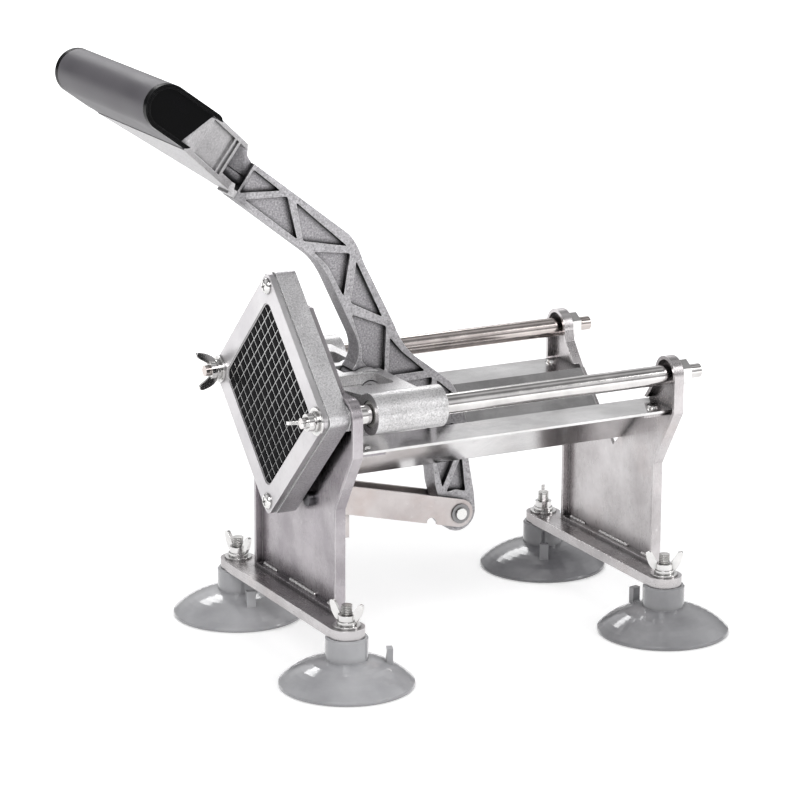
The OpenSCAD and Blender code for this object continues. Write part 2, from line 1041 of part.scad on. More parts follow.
module lever_pin_clips() {
    color("silver")
        clip_pair(pivot, lever_pin_d, ear_in + ear_t);
}

// ---------- lever, yoke and grip ----------

// A point of the grip's frame, taken about the lever pin.
function from_nose(u, w) = [
    u * cos(grip_angle) + w * sin(grip_angle) - nose_run,
    w * cos(grip_angle) - u * sin(grip_angle) + nose_rise
];

// The arm runs from its end at the yoke, upper and lower corner, to the elbow.
arm_top = from_nose(lever_end + 0.1, 7.1);
arm_low = from_nose(lever_end, yoke_heel - 0.2);
elbow_top = [-11, 89];
elbow_low = [-31, 76.9];
function arm(t, s) =
    (1 - t) * ((1 - s) * arm_top + s * arm_low)
    + t * ((1 - s) * elbow_top + s * elbow_low);

// The outline of the lever about its pin: arm, inner side, foot, outer side.
module lever_outline() {
    foot = [foot_run, -foot_drop];
    polygon(concat(
        [arm_top],
        [arm_low],
        bend(elbow_low, [-24.5, 71.5], [-18.4, 57.8], 6),
        bend([-5.5, 31], [-0.2, 19.5], [-7.2, 11.2], 6),
        [[0, 0]],
        [[5, -10.9]],
        bend([20, -12.5], [37, -15], [41.5, -34], 6),
        [foot + [-16, 31.5]],
        [foot + [-14.4, 17.5]],
        [foot + [-11, 5]],
        [foot],
        [foot + [11, 1]],
        [foot + [10.2, 10]],
        bend([65.8, -48], [67, -20], [54, -2.5], 8),
        bend([31, 15], [23, 22], [18.5, 34], 6),
        bend([-0.6, 71.3], [-5, 84.5], elbow_top, 8)
    ));
    circle(pivot_boss_r);
    translate(foot)
        circle(boss_r);
}

lever_pockets = [
    [arm(0.018, 0.12), arm(0.02, 0.81), arm(0.32, 0.15)],
    [arm(0.1, 0.86), arm(0.75, 0.88), arm(0.4, 0.16)],
    [arm(0.49, 0.15), arm(0.8, 0.83), arm(1.11, 0.27)],
    [[-31, 80], [-22.5, 71.4], [-12.8, 53.3], [-8.6, 77]],
    [[-5, 72.3], [-8.6, 49.1], [11.2, 39]],
    [[-7.9, 42.5], [-1.5, 22.5], [-1.5, 15.5], [2.5, 11], [12.6, 8], [13.6, 33.7]],
    [[15.8, 27], [14.8, 5], [38, 5.4], [23.3, 18.1]],
    [[20.2, 0.6], [40.5, -15.5], [42.7, 1.3]],
    [[45.2, -0.6], [45.8, -20], [57, -10.6]],
    [[45, -27], [45.2, -47], [49.6, -64], [57.5, -47], [57, -27]],
    [[61.7, -46], [52, -67], [58.1, -66], [64.3, -68]]
];

// The tongue that runs from the arm into the neck of the yoke, drawn as (x, z) of the grip's frame.
module lever_tongue() {
    low = yoke_bolt_z + yoke_bolt_d / 2 + 0.3;
    roof = yoke_out_half_t - yoke_roof_t - 0.3;
    polygon([
        [yoke_window + 1.5, low],
        [lever_end + 1, low],
        [lever_end + 1, 6.5],
        [yoke_end, 8.9],
        [yoke_end - 3, yoke_out_half_t + 0.8],
        [yoke_top_end + 1.3, yoke_out_half_t + 0.8],
        [yoke_top_end + 1.3, roof],
        [yoke_window + 1.5, roof]
    ]);
}

module lever() {
    color("darkgray")
        difference() {
            union() {
                translate([pivot[0], 0, pivot[1]])
                    along_y(0, lever_t)
                        lever_outline();
                grip_frame()
                    along_y(0, 2 * tongue_half_w)
                        lever_tongue();
                grip_frame()
                    along_bolt(neck_boss_start, neck_boss_d, lever_end + 1 - neck_boss_start);
            }
            translate([pivot[0], 0, pivot[1]])
                for (side = [-1, 1])
                    along_y(side * (lever_t - pocket_depth + eps) / 2, pocket_depth + eps)
                        for (pocket = lever_pockets)
                            polygon(soften(pocket, 1.6));
            bar_y(pivot, lever_pin_d + 2 * run_gap, 60);
            bar_y(foot_pivot, link_pin_d + 2 * run_gap, 60);
            grip_frame()
                along_bolt(neck_boss_start - 1, yoke_bolt_d, yoke_bolt_end - neck_boss_start + 1);
        }
}

// The fan from the grip to the neck, moved in by d on its sides.
module yoke_fan(d) {
    wide = grip_half - cap_t - 0.2 - d;
    neck = neck_half_w - d;
    polygon([
        [-1, -wide],
        [yoke_full_l, -wide],
        [yoke_taper_end, -neck],
        [yoke_end, -neck],
        [yoke_end, neck],
        [yoke_taper_end, neck],
        [yoke_full_l, wide],
        [-1, wide]
    ]);
}

// A slice of the fan between two stations, moved in by d, half_t thick either way.
module yoke_slice(d, from, to, half_t) {
    translate([0, 0, -half_t])
        linear_extrude(2 * half_t)
            intersection() {
                yoke_fan(d);
                translate([from, -grip_half])
                    square([to - from, grip_l]);
            }
}

// A shallow pocket on each slanted side, from a to b along the slant.
module yoke_side_pocket(a, b) {
    wide = grip_half - cap_t - 0.2;
    slant = atan2(wide - neck_half_w, yoke_taper_end - yoke_full_l);
    for (side = [0, 1])
        mirror([0, side, 0])
            translate([yoke_full_l, wide, 0])
                rotate(-slant)
                    translate([a, -yoke_pocket, -yoke_out_half_t + yoke_pocket_rim])
                        cube([b - a, yoke_pocket + 5, 2 * (yoke_out_half_t - yoke_pocket_rim)]);
}

module yoke() {
    half_t = yoke_half_t - 0.1;
    color("silver")
        grip_frame()
            difference() {
                union() {
                    yoke_slice(0, -1, yoke_taper_end, half_t);
                    intersection() {
                        yoke_slice(0, grip_bottom_l, yoke_end, yoke_out_half_t);
                        along_y(0, grip_l)
                            polygon([
                                [grip_bottom_l + 0.4, -yoke_out_half_t],
                                [yoke_end, -yoke_out_half_t],
                                [yoke_top_end, yoke_out_half_t],
                                [grip_top_l + 0.4, yoke_out_half_t]
                            ]);
                    }
                    translate([yoke_end - eps, -lever_t / 2, yoke_heel])
                        cube([lever_end - yoke_end + eps, lever_t, yoke_heel_h]);
                }
                yoke_slice(yoke_wall, -1 - cut, yoke_core_end, yoke_core_half_t);
                yoke_slice(yoke_wall + 1, grip_top_l + 4, yoke_core_end, yoke_out_half_t - 3.6);
                yoke_side_pocket(12, 46);
                yoke_side_pocket(48, 52);
                translate([yoke_window, -grip_half, -yoke_out_half_t + yoke_floor_t])
                    cube([30, grip_half + 5, 2 * yoke_out_half_t - yoke_floor_t - yoke_roof_t]);
                along_bolt(yoke_core_end - 1, yoke_bolt_d, 40);
            }
}

// A round bar along the bolt that joins yoke and lever.
module along_bolt(from, d, length) {
    translate([0, 0, yoke_bolt_z])
        bar_x(from, d, length);
}

module yoke_bolt() {
    head_t = 4;
    color("silver")
        grip_frame() {
            along_bolt(yoke_core_end - eps, yoke_bolt_d, yoke_bolt_end - yoke_core_end);
            translate([yoke_core_end - head_t, 0, yoke_bolt_z])
                rotate([0, 90, 0])
                    cylinder(d = 8.6, h = head_t, $fn = 6);
        }
}

// The U section of the grip, top side longer than the bottom side.
module grip_section(r, bottom_l, top_l) {
    circle(r);
    polygon([[0, -r], [bottom_l, -r], [top_l, r], [0, r]]);
}

module grip_cover() {
    r = grip_t / 2;
    color("#6a6266")
        grip_frame()
            along_y(0, grip_l - 2 * cap_t)
                difference() {
                    grip_section(r, grip_bottom_l, grip_top_l);
                    grip_section(r - grip_wall, 60, 60);
                }
}

// The outline of a cap: the U of the grip with rounded tips.
module cap_outline() {
    r = grip_t / 2;
    circle(r);
    polygon(concat(
        [[0, r], [0, -r]],
        bend([grip_bottom_l - cap_corner, -r], [grip_bottom_l, -r], [grip_bottom_l + 1, -r + cap_rim]),
        bend([grip_top_l + 1, r - cap_rim], [grip_top_l, r], [grip_top_l - cap_corner, r])
    ));
}

// The floor of a cap ends before the tips of its rim.
module cap_floor() {
    r = grip_t / 2 - cap_rim + eps;
    circle(r);
    polygon([[0, -r], [grip_bottom_l - 4.5, -r], [grip_top_l - 4.5, r], [0, r]]);
}

module grip_cap(side) {
    r = grip_t / 2;
    floor_t = cap_t - cap_recess;
    color("#101010")
        grip_frame() {
            difference() {
                along_y(side * (grip_half - cap_t / 2), cap_t)
                    cap_outline();
                along_y(side * (grip_half - cap_t / 2), cap_t + 2 * cut)
                    grip_section(r - cap_rim, 60, 60);
                along_y(side * grip_half, 1)
                    difference() {
                        grip_section(r - 0.9, 60, 60);
                        grip_section(r - 1.5, 60, 60);
                    }
            }
            along_y(side * (grip_half - cap_t + floor_t / 2), floor_t)
                cap_floor();
        }
}

module near_grip_cap() {
    grip_cap(-1);
}

module far_grip_cap() {
    grip_cap(1);
}

// ---------- link ----------

module link_wall_shape() {
    notch_r = 3.6;
    difference() {
        union() {
            circle(link_h / 2);
            translate([link_len, 0])
                circle(link_h / 2);
            translate([0, -link_h / 2])
                square([link_len, link_h]);
        }
        translate([link_len - 17, -link_h / 2])
            circle(notch_r);
    }
}

module link() {
    web_start = 17;
    web_end = link_len - 20;
    color("silver")
        difference() {
            link_frame() {
                for (side = [-1, 1])
                    along_y(side * (link_inner + link_t / 2), link_t)
                        link_wall_shape();
                translate([web_start, -link_outer + eps, -link_h / 2])
                    cube([web_end - web_start, 2 * link_outer - 2 * eps, link_t]);
            }
            bar_y(link_pivot, link_pin_d, 60);
            bar_y(foot_pivot, link_pin_d, 60);
        }
}

module link_pin(at) {
    color("silver")
        bar_y(at, link_pin_d, 2 * (link_outer + clip_t + 1.2));
}

module link_rear_pin() {
    link_pin(foot_pivot);
}

module link_front_pin() {
    link_pin(link_pivot);
}

module link_clips() {
    color("silver") {
        clip_pair(foot_pivot, link_pin_d, link_outer);
        clip_pair(link_pivot, link_pin_d, link_outer);
    }
}

// ---------- the assembly ----------

front_upright();
rear_upright();
front_base();
rear_base();
trough();
trough_rivets();
near_rod();
far_rod();
rod_washers();
rod_nuts();
head_casting();
cover_plate();
front_blades();
back_blades();
head_screws();
head_washers();
head_wing_nuts();
link_bracket();
bracket_screws();
cup_front_near();
cup_front_far();
cup_rear_near();
cup_rear_far();
foot_studs();
foot_washers();
foot_wing_nuts();
carriage();
near_bushing();
far_bushing();
pusher_block();
pusher_screws();
lever_pin();
lever_pin_clips();
lever();
yoke();
yoke_bolt();
grip_cover();
near_grip_cap();
far_grip_cap();
link();
link_rear_pin();
link_front_pin();
link_clips();
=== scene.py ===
import math

import bmesh
import bpy
from mathutils import Matrix, Vector


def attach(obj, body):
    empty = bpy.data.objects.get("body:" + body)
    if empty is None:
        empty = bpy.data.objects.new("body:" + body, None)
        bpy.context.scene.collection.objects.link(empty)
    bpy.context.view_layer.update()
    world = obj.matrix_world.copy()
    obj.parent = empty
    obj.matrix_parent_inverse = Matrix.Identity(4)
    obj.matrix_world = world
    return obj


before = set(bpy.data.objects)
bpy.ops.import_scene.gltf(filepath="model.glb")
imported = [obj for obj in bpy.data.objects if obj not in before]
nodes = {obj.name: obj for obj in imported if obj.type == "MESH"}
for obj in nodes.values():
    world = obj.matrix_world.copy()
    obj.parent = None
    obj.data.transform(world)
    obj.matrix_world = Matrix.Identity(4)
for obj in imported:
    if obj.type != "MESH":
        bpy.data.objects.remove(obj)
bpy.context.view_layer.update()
MM = 0.001


# ---------------------------------------------------------------- node helpers
def maths(tree, op, *values):
    """A math node, fed by numbers or by the outputs of other nodes."""
    n = tree.nodes.new("ShaderNodeMath")
    n.operation = op
    for socket, value in zip(n.inputs, values):
        if isinstance(value, (int, float)):
            socket.default_value = value
        else:
            tree.links.new(value, socket)
    return n.outputs[0]


def map_range(tree, source, low, high, out_low, out_high):
    """Carries low..high over to out_low..out_high, and holds the ends beyond."""
    n = tree.nodes.new("ShaderNodeMapRange")
    n.clamp = True
    for i, value in enumerate((low, high, out_low, out_high)):
        n.inputs[i + 1].default_value = value
    tree.links.new(source, n.inputs[0])
    return n.outputs[0]


# ---------------------------------------------------------------- surfaces
class Look:
    """Builds one procedural surface. Distances in it are millimetres on the object."""

    def __init__(self, name, metallic=1.0):
        self.material = bpy.data.materials.new(name)
        self.material.use_nodes = True
        self.tree = self.material.node_tree
        self.shader = self.tree.nodes["Principled BSDF"]
        self.shader.inputs["Metallic"].default_value = metallic
        self.coord = self.tree.nodes.new("ShaderNodeTexCoord").outputs["Object"]
        self.normal = None

    def node(self, kind, **values):
        """A new node. Each value is a property of it, or else the default of an input."""
        n = self.tree.nodes.new(kind)
        for key, value in values.items():
            if hasattr(n, key):
                setattr(n, key, value)
            else:
                n.inputs[key].default_value = value
        return n

    def link(self, a, b):
        self.tree.links.new(a, b)

    def stretched(self, stretch):
        n = self.node("ShaderNodeMapping", Scale=stretch)
        self.link(self.coord, n.inputs["Vector"])
        return n.outputs["Vector"]

    def noise(self, size_mm, detail=3.0, stretch=None, rough=0.55):
        """A noise field whose blobs are about size_mm across."""
        scale = 1.0 / (size_mm * MM)
        n = self.node("ShaderNodeTexNoise", Scale=scale, Detail=detail, Roughness=rough)
        self.link(self.stretched(stretch) if stretch else self.coord, n.inputs["Vector"])
        return n.outputs["Fac"]

    def ramp(self, source, low, high, out_low=0.0, out_high=1.0):
        return map_range(self.tree, source, low, high, out_low, out_high)

    def maths(self, op, *values):
        return maths(self.tree, op, *values)

    def times(self, a, b):
        return self.maths("MULTIPLY", a, b)

    def mix(self, fac, a, b):
        n = self.node("ShaderNodeMix", data_type="RGBA")
        for socket, value in ((n.inputs[0], fac), (n.inputs[6], a), (n.inputs[7], b)):
            if isinstance(value, (int, float)):
                socket.default_value = value
            elif isinstance(value, (tuple, list)):
                socket.default_value = (*value, 1.0)
            else:
                self.link(value, socket)
        return n.outputs[2]

    def soft_edges(self, radius_mm):
        """Rounds the edges in the shading, and returns a mask that is 1 on an edge."""
        rounded = self.node("ShaderNodeBevel", samples=6, Radius=radius_mm * MM)
        flat = self.node("ShaderNodeNewGeometry")
        dot = self.node("ShaderNodeVectorMath", operation="DOT_PRODUCT")
        self.link(rounded.outputs[0], dot.inputs[0])
        self.link(flat.outputs["Normal"], dot.inputs[1])
        self.normal = rounded.outputs[0]
        return self.ramp(dot.outputs["Value"], 0.995, 0.85)

    def bump(self, height, strength, depth_mm):
        n = self.node("ShaderNodeBump", Strength=strength, Distance=depth_mm * MM)
        self.link(height, n.inputs["Height"])
        if self.normal is not None:
            self.link(self.normal, n.inputs["Normal"])
        self.normal = n.outputs["Normal"]

    def recess_shade_mask(self, distance_mm):
        """A mask that is 1 in corners and narrow recesses, where shade is painted into the colour."""
        n = self.node("ShaderNodeAmbientOcclusion", samples=6, Distance=distance_mm * MM)
        return self.ramp(n.outputs["AO"], 0.35, 0.95, 1.0, 0.0)

    def axis(self, name):
        n = self.node("ShaderNodeSeparateXYZ")
        self.link(self.coord, n.inputs[0])
        return n.outputs[name]

    def faces_along_y(self):
        """1 on a face square to Y, 0 on a face that Y runs along."""
        n = self.node("ShaderNodeSeparateXYZ")
        flat = self.node("ShaderNodeNewGeometry")
        self.link(flat.outputs["True Normal"], n.inputs[0])
        return self.maths("ABSOLUTE", n.outputs["Y"])

    def done(self, color, roughness):
        self.link(color, self.shader.inputs["Base Color"])
        self.link(roughness, self.shader.inputs["Roughness"])
        self.link(self.normal, self.shader.inputs["Normal"])
        return self.material


def scaled(color, factor):
    return [min(1, c * factor) for c in color]


BROWN_TINT = (0.60, 0.52, 0.50)
SCRATCH = (0.88, 0.87, 0.86)
# Edge colours: wear on the edges, lightened further as a painted highlight.
WORN_SHEET_HIGHLIGHT = (0.95, 0.94, 0.93)
WORN_CASTING_HIGHLIGHT = (0.92, 0.92, 0.92)
DUST = (0.7, 0.7, 0.7)


def sheet_metal(name, dark, light, rough, stretch, edge=0.35, tint=BROWN_TINT, tinted=0.3):
    """Rolled sheet with fine lines, handling smudges, a tint in patches, edges lighter from wear and as a
    painted highlight, and painted shade in corners.
    The lines run along each axis whose stretch is below 1."""
    k = Look(name)
    worn_highlit_edge = k.soft_edges(edge)
    smudge = k.noise(46, 5, rough=0.6)
    stain = k.noise(27, 3)
    fine = k.noise(5, 6, rough=0.75)
    lines = k.noise(0.6, 3, stretch=stretch)
    streak = k.noise(4.5, 4, stretch=stretch)
    color = k.mix(k.ramp(smudge, 0.36, 0.62), dark, light)
    color = k.mix(k.ramp(stain, 0.52, 0.74, 0.0, tinted), color, tint)
    color = k.mix(k.ramp(streak, 0.60, 0.78, 0.0, 0.08), color, scaled(dark, 0.75))
    color = k.mix(k.ramp(fine, 0.55, 0.78, 0.0, 0.35), color, scaled(dark, 0.7))
    color = k.mix(k.ramp(fine, 0.40, 0.25, 0.0, 0.35), color, SCRATCH)
    # Edges lighter from wear, and lighter still as a painted highlight.
    color = k.mix(k.times(worn_highlit_edge, 0.7), color, WORN_SHEET_HIGHLIGHT)
    # Painted shade: darker in corners and narrow recesses.
    color = k.mix(k.times(k.recess_shade_mask(6), 0.75), color, scaled(dark, 0.16))
    k.bump(lines, 0.14, 0.05)
    k.bump(fine, 0.10, 0.25)
    gloss = k.ramp(smudge, 0.3, 0.7, rough - 0.05, rough + 0.07)
    return k.done(color, k.maths("ADD", gloss, k.ramp(lines, 0.3, 0.7, -0.03, 0.03)))


POCKET_FLOOR_Y = 4.4
RIB_FACE_Y = 6.2
TONGUE_START_X = -90.5
TONGUE_DARK_X = -93.5
# Colours of the painted shadow on the lever's pocket walls and outlines, and in the yoke's neck.
SHADOW = (0.02, 0.02, 0.022)
OUTLINE_SHADE = (0.03, 0.03, 0.032)


def pocket_floors(k, color, floor, clouds):
    """The floors of the lever's pockets, which lie nearer to the middle plane than its ribs, in a darker
    colour as painted shade.
    """
    side = k.ramp(k.maths("ABSOLUTE", k.axis("Y")), POCKET_FLOOR_Y * MM, RIB_FACE_Y * MM)
    # The darker floor colour is painted shade in the pockets.
    return k.mix(side, k.mix(k.ramp(clouds, 0.3, 0.7), floor, scaled(floor, 1.2)), color)


def pocket_shadows(k, color):
    """The dark walls and outlines of the pockets, and the shaded tongue in the yoke's neck."""
    wall = k.ramp(k.faces_along_y(), 0.75, 0.3)
    color = k.mix(k.times(wall, k.ramp(k.recess_shade_mask(9), 0.25, 0.6)), color, SHADOW)
    color = k.mix(k.ramp(k.recess_shade_mask(1.4), 0.35, 0.75, 0.0, 0.85), color, OUTLINE_SHADE)
    tongue = k.ramp(k.axis("X"), TONGUE_START_X * MM, TONGUE_DARK_X * MM)
    return k.mix(k.times(tongue, k.ramp(k.recess_shade_mask(14), 0.05, 0.45, 0.35, 0.95)), color, SHADOW)


def cast_metal(name, dark, light, rough, grain_mm=1.0, recess_shade=0.85, edge=0.5, floor=None, speck=0.55):
    """Bead-blasted casting: fine sandy grain, painted shade in recesses, and rubbed edges lightened
    further as a painted highlight.
    A floor colour, where given, is that of the lever's pockets, darker than the ribs as painted shade."""
    k = Look(name, 0.88)
    worn_highlit_edge = k.soft_edges(edge)
    grain = k.noise(grain_mm, 2, rough=0.75)
    clouds = k.noise(16, 3)
    color = k.mix(k.ramp(clouds, 0.3, 0.7), dark, light)
    if floor:
        color = pocket_floors(k, color, floor, clouds)
    color = k.mix(k.ramp(grain, 0.50, 0.70, 0.0, speck), color, scaled(dark, 0.45))
    color = k.mix(k.ramp(grain, 0.46, 0.30, 0.0, speck), color, scaled(light, 1.35))
    # Edges lighter from wear, and lighter still as a painted highlight.
    color = k.mix(k.times(worn_highlit_edge, 0.8), color, WORN_CASTING_HIGHLIGHT)
    if floor:
        color = pocket_shadows(k, color)
    # Painted shade: darker in corners and narrow recesses.
    color = k.mix(k.times(k.recess_shade_mask(3.0), recess_shade), color, scaled(dark, 0.08))
    k.bump(grain, 0.7, 0.22)
    gloss = k.ramp(clouds, 0.3, 0.7, rough - 0.04, rough + 0.05)
    return k.done(color, k.maths("SUBTRACT", gloss, k.times(worn_highlit_edge, 0.15)))


def turned_metal(name, color, rough, axis, ring_mm=0.4, thread_mm=None):
    """Ground or plated steel with fine tool rings round an axis, a thread where asked, and painted shade
    in corners.
    """
    k = Look(name)
    k.soft_edges(0.3)
    along = k.axis(axis)
    scale = 1.0 / (ring_mm * MM)
    ring = k.node("ShaderNodeTexNoise", noise_dimensions="1D", Scale=scale, Detail=3.0)
    k.link(along, ring.inputs["W"])
    tint = k.noise(12, 3)
    base = k.mix(k.ramp(tint, 0.35, 0.7), scaled(color, 0.82), color)
    # Painted shade: darker in corners and narrow recesses.
    base = k.mix(k.times(k.recess_shade_mask(2.5), 0.6), base, scaled(color, 0.15))
    k.bump(ring.outputs["Fac"], 0.25, 0.03)
    if thread_mm:
        k.bump(k.maths("SINE", k.times(along, 2 * math.pi / (thread_mm * MM))), 0.8, 0.35)
    return k.done(base, k.ramp(tint, 0.3, 0.75, rough, rough + 0.09))


def moulded(
    name, color, light, rough, grain_mm, depth_mm,
    coat=0.0, blotch_mm=24, dust=0.06, specular=0.5, recess_shade=0.6, rim_highlight=0.25,
):
    """Moulded plastic or rubber with a faint grain, uneven gloss, a little dust, edges lighter from wear
    and as a painted highlight, and painted shade in corners.
    """
    k = Look(name, 0.0)
    worn_highlit_edge = k.soft_edges(0.5)
    clouds = k.noise(blotch_mm, 4)
    grain = k.noise(grain_mm, 3)
    specks = k.noise(1.6, 4, rough=0.8)
    # Edges lighter from wear, and lighter still as a painted highlight; its strength is set per look.
    rubbed_highlight = [min(1, c * 2.2 + 0.03) for c in light]
    base = k.mix(k.ramp(clouds, 0.32, 0.7), color, light)
    base = k.mix(k.ramp(specks, 0.66, 0.8, 0.0, dust), base, DUST)
    base = k.mix(k.times(worn_highlit_edge, rim_highlight), base, rubbed_highlight)
    # Painted shade: darker in corners and narrow recesses.
    base = k.mix(k.times(k.recess_shade_mask(4), recess_shade), base, scaled(color, 0.3))
    k.bump(grain, 0.35, depth_mm)
    k.shader.inputs["Specular IOR Level"].default_value = specular
    k.shader.inputs["Coat Weight"].default_value = coat
    k.shader.inputs["Coat Roughness"].default_value = 0.08
    return k.done(base, k.ramp(clouds, 0.3, 0.7, rough, rough + 0.1))


def rubber(name, color, light):
    """Glossy rubber of the suction cups, with a faint waviness."""
    return moulded(
        name, color, light, rough=0.16, grain_mm=5.0, depth_mm=0.25, coat=0.8, blotch_mm=26, dust=0.03
    )


GRID_DARK_Z = 120
GRID_BRIGHT_Z = 165


def shaded_strips():
    """Strips whose polished front edges catch less light in the lower half of the grid."""
    k = Look("blade_strip_shaded")
    k.soft_edges(0.08)
    height = k.ramp(k.axis("Z"), GRID_DARK_Z * MM, GRID_BRIGHT_Z * MM, 0.10, 1.0)
    wear = k.noise(3, 4)
    polished = k.mix(k.ramp(wear, 0.35, 0.65), (0.32, 0.32, 0.32), (0.54, 0.54, 0.54))
    color = k.mix(height, (0.05, 0.05, 0.052), polished)
    k.bump(k.noise(0.7, 3), 0.2, 0.04)
    return k.done(color, k.ramp(wear, 0.3, 0.7, 0.16, 0.28))


# ---------------------------------------------------------------- looks of the CAD nodes
def dress(look, *names):
    """Gives a look to every slot of the nodes named."""
    for name in names:
        slots = nodes[name].material_slots
        for slot in slots:
            slot.material = look
        if not slots:
            nodes[name].data.materials.append(look)


def dress_sheet_pieces():
    upright = sheet_metal(
        "satin_sheet", (0.44, 0.415, 0.42), (0.66, 0.635, 0.64), rough=0.27, stretch=(1, 1, 0.1)
    )
    dress(upright, "rear_upright")
    # The same sheet as the rear upright, darker and with a purple tint in patches, as painted shade on
    # the front upright.
    upright = sheet_metal(
        "satin_sheet_front_shaded", (0.33, 0.305, 0.325), (0.54, 0.51, 0.53),
        rough=0.27, stretch=(1, 1, 0.1), tint=(0.40, 0.36, 0.40),
    )
    dress(upright, "front_upright")
    base = sheet_metal(
        "base_sheet", (0.40, 0.38, 0.385), (0.62, 0.60, 0.605), rough=0.25, stretch=(1, 0.04, 1)
    )
    dress(base, "front_base", "rear_base")
    trough = sheet_metal(
        "bright_sheet", (0.62, 0.61, 0.61), (0.84, 0.83, 0.83),
        rough=0.15, stretch=(0.03, 1, 1), tinted=0.15,
    )
    dress(trough, "trough")
    link = sheet_metal(
        "link_sheet", (0.50, 0.455, 0.45), (0.66, 0.62, 0.61),
        rough=0.33, stretch=(0.2, 1, 0.5), tint=(0.50, 0.40, 0.37), tinted=0.6,
    )
    dress(link, "link", "link_bracket")
    cover = sheet_metal(
        "cover_sheet", (0.55, 0.535, 0.55), (0.70, 0.685, 0.695),
        rough=0.36, stretch=(1, 0.2, 0.2), edge=0.6, tinted=0.05,
    )
    dress(cover, "cover_plate")
    blade = sheet_metal(
        "blade_strip", (0.50, 0.50, 0.50), (0.70, 0.70, 0.70),
        rough=0.18, stretch=(1, 0.3, 0.3), edge=0.08, tinted=0.0,
    )
    dress(blade, "back_blades")
    dress(shaded_strips(), "front_blades")


def dress_turned_pieces():
    near_rod = turned_metal("ground_rod", (0.80, 0.78, 0.77), rough=0.10, axis="X", ring_mm=0.9)
    dress(near_rod, "near_rod")
    # The same steel as the other rod, darker and browner, as painted shade on the far rod.
    far_rod = turned_metal("ground_rod_far_shaded", (0.66, 0.60, 0.575), rough=0.14, axis="X", ring_mm=0.9)
    dress(far_rod, "far_rod")
    stud = turned_metal(
        "threaded_stud", (0.74, 0.73, 0.71), rough=0.2, axis="Z", ring_mm=0.5, thread_mm=1.0
    )
    dress(stud, "foot_studs")
    along_x = turned_metal("plated_along_x", (0.86, 0.85, 0.84), rough=0.13, axis="X")
    dress(along_x, "rod_washers", "rod_nuts", "head_washers", "head_wing_nuts")
    dress(along_x, "head_screws", "pusher_screws", "yoke_bolt")
    along_y = turned_metal("plated_along_y", (0.84, 0.83, 0.82), rough=0.15, axis="Y")
    dress(along_y, "lever_pin", "link_rear_pin", "link_front_pin")
    along_z = turned_metal("plated_along_z", (0.86, 0.85, 0.84), rough=0.13, axis="Z")
    dress(along_z, "foot_washers", "foot_wing_nuts", "trough_rivets")
    clip = turned_metal("dark_clips", (0.30, 0.295, 0.30), rough=0.22, axis="Y")
    dress(clip, "lever_pin_clips", "link_clips")
    dark = turned_metal("dark_steel", (0.20, 0.20, 0.21), rough=0.3, axis="X", ring_mm=0.5)
    dress(dark, "bracket_screws")


def dress_castings():
    # The lever's pocket floors take a darker colour: painted shade.
    lever = cast_metal(
        "lever_casting", (0.40, 0.39, 0.405), (0.50, 0.49, 0.505),
        rough=0.46, floor=(0.34, 0.33, 0.345), speck=0.8,
    )
    dress(lever, "lever")
    yoke = cast_metal("yoke_casting", (0.46, 0.45, 0.46), (0.58, 0.57, 0.58), rough=0.44)
    dress(yoke, "yoke")
    head = cast_metal(
        "head_casting_grain", (0.62, 0.61, 0.62), (0.74, 0.73, 0.74),
        rough=0.42, grain_mm=0.9, recess_shade=0.6, edge=0.8,
    )
    dress(head, "head_casting")
    carriage = cast_metal(
        "carriage_casting", (0.60, 0.59, 0.595), (0.76, 0.75, 0.755),
        rough=0.40, grain_mm=0.9, recess_shade=0.9, speck=0.6,
    )
    dress(carriage, "carriage")


def dress_moulded_pieces():
    # All four cups are one rubber; the rear cups get darker copies as painted shade, the far rear one the
    # darkest.
    near = rubber("cup_rubber_lit", (0.35, 0.35, 0.365), (0.46, 0.46, 0.475))
    dress(near, "cup_front_near", "cup_front_far")
    dress(rubber("cup_rubber_half_shaded", (0.22, 0.22, 0.23), (0.31, 0.31, 0.32)), "cup_rear_near")
    dress(rubber("cup_rubber_shaded", (0.16, 0.16, 0.17), (0.23, 0.23, 0.24)), "cup_rear_far")
    pusher = moulded(
        "pusher_black", (0.002, 0.002, 0.003), (0.006, 0.006, 0.007), rough=0.45,
        grain_mm=0.8, depth_mm=0.04, blotch_mm=9, dust=0.01, specular=0.03, recess_shade=0.9, rim_highlight=0.15,
    )
    dress(pusher, "pusher_block")
    bearing = moulded(
        "bearing_plastic", (0.66, 0.66, 0.62), (0.76, 0.76, 0.72), rough=0.45, grain_mm=0.7, depth_mm=0.03
    )
    dress(bearing, "near_bushing", "far_bushing")
    grip = moulded(
        "grip_grey", (0.088, 0.083, 0.094), (0.118, 0.111, 0.123), rough=0.42,
        grain_mm=0.9, depth_mm=0.05, blotch_mm=30, dust=0.04, specular=0.45,
    )
    dress(grip, "grip_cover")
    # The caps' edges take the strongest painted highlight.
    cap = moulded(
        "cap_black", (0.0008, 0.0008, 0.001), (0.002, 0.002, 0.0026), rough=0.20,
        grain_mm=0.9, depth_mm=0.05, blotch_mm=12, dust=0.01, specular=0.06, recess_shade=0.6, rim_highlight=1.0,
    )
    dress(cap, "near_grip_cap", "far_grip_cap")


dress_sheet_pieces()
dress_turned_pieces()
dress_castings()
dress_moulded_pieces()

# ---------------------------------------------------------------- weld beads, in millimetres
UPRIGHT_PITCH = 200.5
WEB_REAR_X = -55.65
BASE_TOP_Z = 33.0
FOLD_TOP_Z = 35.4
BEAD_FROM_WEB = 2.5
FOLD_BEADS_Y = ((-46, -36), (-18, 11), (30, 44))
FLANGE_Y = 50.9
FLANGE_BEAD_START = 5.4
FLANGE_BEAD_END = 0.6


